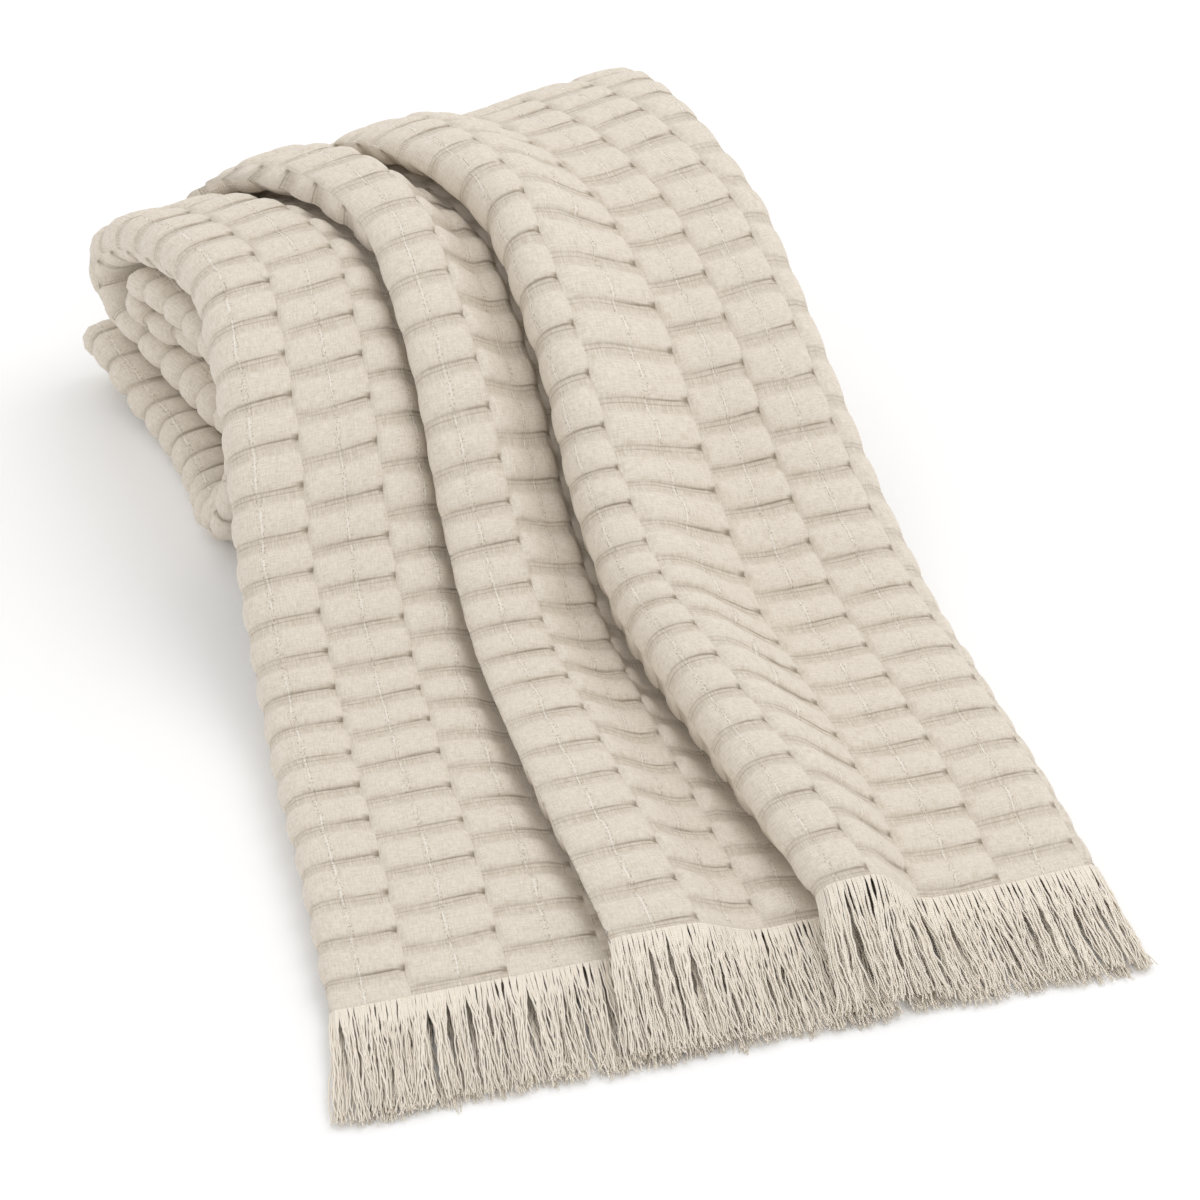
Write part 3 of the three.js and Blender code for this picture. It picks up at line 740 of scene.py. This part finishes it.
random = np.random.default_rng(fringeYarn["seed"])
hemAt, hemColumn = hemLine()
topHem = hemColumn > fringeYarn["underColumns"]
paths = yarnPaths(hemAt, random) + shift
fringeTop = yarnTubes("fringeYarns", paths[topHem], random)
fringeUnder = yarnTubes("fringeYarnsUnder", paths[~topHem], random)


def linearColour(code):
    # an sRGB hex value as the linear colour that the shader takes
    parts = [int(code[i:i + 2], 16) / 255 for i in (1, 3, 5)]
    return tuple(c / 12.92 if c <= 0.04045 else ((c + 0.055) / 1.055) ** 2.4 for c in parts) + (1,)


def addNode(tree, kind, settings=(), inputs=()):
    # one node with its settings; an input is a fixed value or another node's output
    node = tree.nodes.new("ShaderNode" + kind)
    for key, value in dict(settings).items():
        setattr(node, key, value)
    for key, value in dict(inputs).items():
        if isinstance(value, bpy.types.NodeSocket):
            tree.links.new(value, node.inputs[key])
        else:
            node.inputs[key].default_value = value
    return node


def newMaterial(name):
    material = bpy.data.materials.new(name)
    material.use_nodes = True
    material.node_tree.nodes.clear()
    return material, material.node_tree


# Woven cotton, unbleached, with two layers that puff apart between the creases. It is
# matt, with a dry, slightly uneven linen-like grain and a lengthwise slub in each column.
cotton = {
    "colour": "#E4DBCE",
    # the shade colour is also the painted shade on the flat band behind each cell
    "shade": "#CABDAB",        # between the threads
    # the crease colour paints shade inside the creases, and the small gaps between threads
    "crease": "#857560",       # inside the creases
    "slub": "#F8F3EA",
    "roughness": 0.93,
    "sheen": 0.12,
    "thread": 0.95,            # mm between threads; finer in the real cloth, drawn so that it shows
    "threadRun": 6,            # mm that an uneven stretch of thread runs
    "blotch": 9,               # mm
    "grain": 0.3,              # mm of bump
    "creaseWidth": 0.034,      # widths and places as shares of a rib
    "secondAt": 0.9,
    "secondWidth": 0.026,
    # how strongly each of these colours the cloth; the flat band and the lines at the creases are
    # painted shade
    "paintedCreaseShade": 0.68,
    "flatBand": 0.22,
    "ladder": 0.17,
    "dots": 0.5,
    "slubShare": 0.55,
}


def wovenCotton():
    material, tree = newMaterial("wovenCotton")
    smooth = {"interpolation_type": "SMOOTHSTEP"}
    add, subtract, absolute = {"operation": "ADD"}, {"operation": "SUBTRACT"}, {"operation": "ABSOLUTE"}
    multiply, multiplyAdd = {"operation": "MULTIPLY"}, {"operation": "MULTIPLY_ADD"}
    least, most = {"operation": "MINIMUM"}, {"operation": "MAXIMUM"}
    coloured = {"data_type": "RGBA"}

    uv = addNode(tree, "UVMap", {"uv_map": "weave"})
    split = addNode(tree, "SeparateXYZ", (), {0: uv.outputs[0]})
    column, rib = split.outputs[0], split.outputs[1]
    inColumn = addNode(tree, "Math", {"operation": "FRACT"}, {0: column}).outputs[0]
    inRib = addNode(tree, "Math", {"operation": "FRACT"}, {0: rib}).outputs[0]

    def streaks(acrossMm, alongMm, detail):
        # noise whose spots are so many mm wide and long
        scale = (weave["column"] / acrossMm, weave["rib"] / alongMm, 1)
        at = addNode(tree, "VectorMath", multiply, {0: uv.outputs[0], 1: scale})
        noise = addNode(tree, "TexNoise", {"noise_dimensions": "2D"}, {
            "Vector": at.outputs[0], "Scale": 1.0, "Detail": detail, "Roughness": 0.55})
        return noise.outputs[0]

    lengthwise = streaks(cotton["thread"], cotton["threadRun"], 2.0)
    crosswise = streaks(cotton["threadRun"], cotton["thread"], 2.0)
    blotch = streaks(cotton["blotch"], cotton["blotch"], 2.0)
    threadSum = addNode(tree, "Math", add, {0: lengthwise, 1: crosswise}).outputs[0]
    grain = addNode(tree, "Math", multiply, {0: threadSum, 1: 0.5}).outputs[0]

    # painted shade: a dark line along the front crease, stronger from the middle of the cell to its
    # right
    fromEnd = addNode(tree, "Math", subtract, {0: 1.0, 1: inRib}).outputs[0]
    toCrease = addNode(tree, "Math", least, {0: inRib, 1: fromEnd}).outputs[0]
    line = addNode(tree, "MapRange", smooth, {
        0: toCrease, 1: 0.0, 2: cotton["creaseWidth"], 3: 1.0, 4: 0.0}).outputs[0]
    rightward = addNode(tree, "MapRange", smooth, {
        0: inColumn, 1: 0.9, 2: 0.15, 3: 0.25, 4: 1.0}).outputs[0]
    patchy = addNode(tree, "MapRange", (), {
        0: streaks(26, 8, 1.0), 1: 0.3, 2: 0.62, 3: 0.35, 4: 1.0}).outputs[0]
    crease = addNode(tree, "Math", multiply, {0: line, 1: rightward}).outputs[0]
    crease = addNode(tree, "Math", multiply, {0: crease, 1: patchy}).outputs[0]

    # painted shade in the slit where the crease meets the column line on its right
    nearLine = addNode(tree, "MapRange", smooth, {
        0: inColumn, 1: 0.01, 2: 0.11, 3: 1.0, 4: 0.0}).outputs[0]
    nearRib = addNode(tree, "MapRange", smooth, {
        0: toCrease, 1: 0.03, 2: 0.11, 3: 1.0, 4: 0.0}).outputs[0]
    slit = addNode(tree, "Math", multiply, {0: nearLine, 1: nearRib}).outputs[0]

    # painted shade: a second, finer line across the flat band, at the foot of a cord, a cord's width in
    # front of the crease
    past = addNode(tree, "Math", subtract, {0: inRib, 1: cotton["secondAt"]}).outputs[0]
    toSecond = addNode(tree, "Math", absolute, {0: past}).outputs[0]
    second = addNode(tree, "MapRange", smooth, {
        0: toSecond, 1: 0.0, 2: cotton["secondWidth"], 3: 0.6, 4: 0.0}).outputs[0]
    second = addNode(tree, "Math", multiply, {0: second, 1: patchy}).outputs[0]
    # the three lines together are painted shade, mixed in with the crease colour below
    dark = addNode(tree, "Math", most, {0: crease, 1: slit}).outputs[0]
    dark = addNode(tree, "Math", most, {0: dark, 1: second}).outputs[0]

    # the flat band is in the shade of its cells, and its single lengthwise threads show
    bandStart = 1 - weave["flat"]
    band = addNode(tree, "MapRange", smooth, {
        0: inRib, 1: bandStart - 0.06, 2: bandStart + 0.1, 3: 0.0, 4: 1.0}).outputs[0]
    threads = addNode(tree, "MapRange", (), {
        0: streaks(cotton["thread"] * 1.1, 9, 1.0), 1: 0.36, 2: 0.62, 3: 1.0, 4: 0.0}).outputs[0]
    ladder = addNode(tree, "Math", multiply, {0: band, 1: threads}).outputs[0]

    # a thicker pale yarn runs lengthwise near the middle of each column
    wobble = streaks(400, 30, 1.0)
    middle = addNode(tree, "Math", multiplyAdd, {0: wobble, 1: 0.05, 2: 0.475}).outputs[0]
    beyond = addNode(tree, "Math", subtract, {0: inColumn, 1: middle}).outputs[0]
    offMiddle = addNode(tree, "Math", absolute, {0: beyond}).outputs[0]
    slubLine = addNode(tree, "MapRange", smooth, {
        0: offMiddle, 1: 0.004, 2: 0.014, 3: 1.0, 4: 0.0}).outputs[0]
    broken = addNode(tree, "MapRange", (), {
        0: streaks(60, 11, 1.0), 1: 0.4, 2: 0.55, 3: 0.0, 4: 1.0}).outputs[0]
    slub = addNode(tree, "Math", multiply, {0: slubLine, 1: broken}).outputs[0]
    # with tiny gaps here and there beside it
    beside = addNode(tree, "MapRange", smooth, {
        0: offMiddle, 1: 0.02, 2: 0.06, 3: 1.0, 4: 0.0}).outputs[0]
    specks = addNode(tree, "MapRange", (), {
        0: streaks(1.1, 1.6, 1.0), 1: 0.58, 2: 0.66, 3: 0.0, 4: 1.0}).outputs[0]
    dots = addNode(tree, "Math", multiply, {0: specks, 1: beside}).outputs[0]

    grainShade = addNode(tree, "MapRange", (), {0: grain, 1: 0.36, 2: 0.62, 3: 0.9, 4: 0.0}).outputs[0]
    blotchShade = addNode(tree, "Math", multiplyAdd, {0: blotch, 1: 0.7, 2: 0.35}).outputs[0]
    uneven = addNode(tree, "Math", multiply, {0: grainShade, 1: blotchShade}).outputs[0]
    colour = addNode(tree, "Mix", coloured, {
        0: uneven, 6: linearColour(cotton["colour"]), 7: linearColour(cotton["shade"])}).outputs[2]
    layers = (
        (band, "flatBand", "shade"),
        (ladder, "ladder", "crease"),
        (dots, "dots", "crease"),
        (slub, "slubShare", "slub"),
        # painted shade of the creases, slits and cord lines
        (dark, "paintedCreaseShade", "crease"),
    )
    for place, strength, layerColour in layers:
        factor = addNode(tree, "Math", multiply, {0: place, 1: cotton[strength]}).outputs[0]
        colour = addNode(tree, "Mix", coloured, {
            0: factor, 6: colour, 7: linearColour(cotton[layerColour])}).outputs[2]

    raised = addNode(tree, "Math", multiply, {0: slub, 1: 0.7}).outputs[0]
    sunk = addNode(tree, "Math", multiply, {0: ladder, 1: 0.8}).outputs[0]
    height = addNode(tree, "Math", add, {0: grain, 1: raised}).outputs[0]
    height = addNode(tree, "Math", subtract, {0: height, 1: sunk}).outputs[0]
    bump = addNode(tree, "Bump", (), {
        "Height": height, "Strength": 0.75, "Distance": cotton["grain"] * mm})
    shader = addNode(tree, "BsdfPrincipled", (), {
        "Base Color": colour, "Normal": bump.outputs[0], "Roughness": cotton["roughness"],
        "IOR": 1.53, "Specular IOR Level": 0.3,
        "Sheen Weight": cotton["sheen"], "Sheen Roughness": 0.5})
    addNode(tree, "OutputMaterial", (), {0: shader.outputs[0]})
    return material


# Loose cotton yarn, two strands twisted together: matt, softly fuzzy, each a little
# lighter or darker than the next.
yarn = {
    "colour": "#FDF5E8",
    # the shade colour paints shade in the grooves between the strands, and each yarn's own darker tone
    "shade": "#F7EBD9",
    "roughness": 0.95,
    "sheen": 0.25,
    "twist": 3.2,              # mm for one turn
    "ply": 0.2,                # mm of bump between the strands
}


def twistedYarn():
    material, tree = newMaterial("twistedCottonYarn")
    multiply, add = {"operation": "MULTIPLY"}, {"operation": "ADD"}
    uv = addNode(tree, "UVMap", {"uv_map": "yarn"})
    split = addNode(tree, "SeparateXYZ", (), {0: uv.outputs[0]})
    number = addNode(tree, "Math", {"operation": "FLOOR"}, {0: split.outputs[0]})
    tone = addNode(tree, "TexWhiteNoise", {"noise_dimensions": "1D"}, {"W": number.outputs[0]})
    turnCount = fringeYarn["length"] / yarn["twist"]
    turns = addNode(tree, "Math", multiply, {0: split.outputs[1], 1: turnCount})
    around = addNode(tree, "Math", add, {0: turns.outputs[0], 1: split.outputs[0]})
    angle = addNode(tree, "Math", multiply, {0: around.outputs[0], 1: 4 * math.pi})
    ply = addNode(tree, "Math", {"operation": "SINE"}, {0: angle.outputs[0]})
    # painted shade: darker in the grooves between the two strands
    plyShade = addNode(tree, "MapRange", (), {0: ply.outputs[0], 1: -1.0, 2: 0.4, 3: 0.5, 4: 0.0})
    toneShade = addNode(tree, "MapRange", (), {0: tone.outputs[0], 1: 0.0, 2: 1.0, 3: 0.0, 4: 0.45})
    shade = addNode(tree, "Math", add, {0: plyShade.outputs[0], 1: toneShade.outputs[0]})
    colour = addNode(tree, "Mix", {"data_type": "RGBA"}, {
        0: shade.outputs[0], 6: linearColour(yarn["colour"]), 7: linearColour(yarn["shade"])})
    bump = addNode(tree, "Bump", (), {
        "Height": ply.outputs[0], "Strength": 0.6, "Distance": yarn["ply"] * mm})
    shader = addNode(tree, "BsdfPrincipled", (), {
        "Base Color": colour.outputs[2], "Normal": bump.outputs[0], "Roughness": yarn["roughness"],
        "IOR": 1.53, "Specular IOR Level": 0.3,
        "Sheen Weight": yarn["sheen"], "Sheen Roughness": 0.5})
    addNode(tree, "OutputMaterial", (), {0: shader.outputs[0]})
    return material


throwCloth.data.materials.append(wovenCotton())
yarnMaterial = twistedYarn()
for piece in (fringeTop, fringeUnder):
    piece.data.materials.append(yarnMaterial)

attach(throwCloth, "root")
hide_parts("throw_cloth")
for piece in (fringeTop, fringeUnder):
    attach(piece, "root")
    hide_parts("fringe")
print("pieces declared")


# floor, light and camera
studio = {
    "floorColour": "#FFFFFF",
    "floorSize": 14,        # m
    "floorRoughness": 0.9,
    "worldColour": "#FFFFFF",
    "worldStrength": 0.9,
    "lights": {
        # name: (azimuth and height in degrees, distance m, size m, power W, colour)
        "key": (80, 64, 3.0, 2.0, 19, "#FFFFFF"),
    },
}


def plainMaterial(name, colour, roughness):
    material, tree = newMaterial(name)
    shader = addNode(tree, "BsdfPrincipled", (), {
        "Base Color": linearColour(colour), "Roughness": roughness})
    addNode(tree, "OutputMaterial", (), {0: shader.outputs[0]})
    return material


half = studio["floorSize"] / 2
floorCorners = np.array([[-half, -half, 0], [half, -half, 0], [half, half, 0], [-half, half, 0]])
floor = meshFrom("floor", floorCorners, np.array([[0, 1, 2, 3]]))
floor.data.materials.append(plainMaterial("paleFloor", studio["floorColour"], studio["floorRoughness"]))

world = bpy.data.worlds.new("studioWorld")
world.use_nodes = True
background = world.node_tree.nodes["Background"]
background.inputs[0].default_value = linearColour(studio["worldColour"])
background.inputs[1].default_value = studio["worldStrength"]
bpy.context.scene.world = world

for name, (azimuth, height, distance, size, power, colour) in studio["lights"].items():
    light = bpy.data.lights.new(name, "AREA")
    light.shape = "DISK"
    light.size = size
    light.energy = power
    light.color = linearColour(colour)[:3]
    lamp = bpy.data.objects.new(name, light)
    a, h = math.radians(azimuth), math.radians(height)
    towards = Vector((math.sin(a) * math.cos(h), math.cos(a) * math.cos(h), math.sin(h)))
    lamp.location = distance * towards
    lamp.rotation_euler = (-lamp.location).to_track_quat("-Z", "Y").to_euler()
    bpy.context.scene.collection.objects.link(lamp)

view = {
    "lens": 90,                         # mm on a 36 mm sensor
    "down": 38,                         # degrees below level
    "heading": -12.5,                   # degrees, to the right of +Y
    "place": (-0.3229, -1.6184, 1.2930),
}
cameraData = bpy.data.cameras.new("camera")
cameraData.lens = view["lens"]
cameraData.sensor_width = 36
camera = bpy.data.objects.new("camera", cameraData)
camera.location = view["place"]
camera.rotation_euler = (math.radians(90 - view["down"]), 0, math.radians(view["heading"]))
bpy.context.scene.collection.objects.link(camera)
bpy.context.scene.camera = camera
bpy.context.scene.view_settings.view_transform = "Standard"
print("stage set")
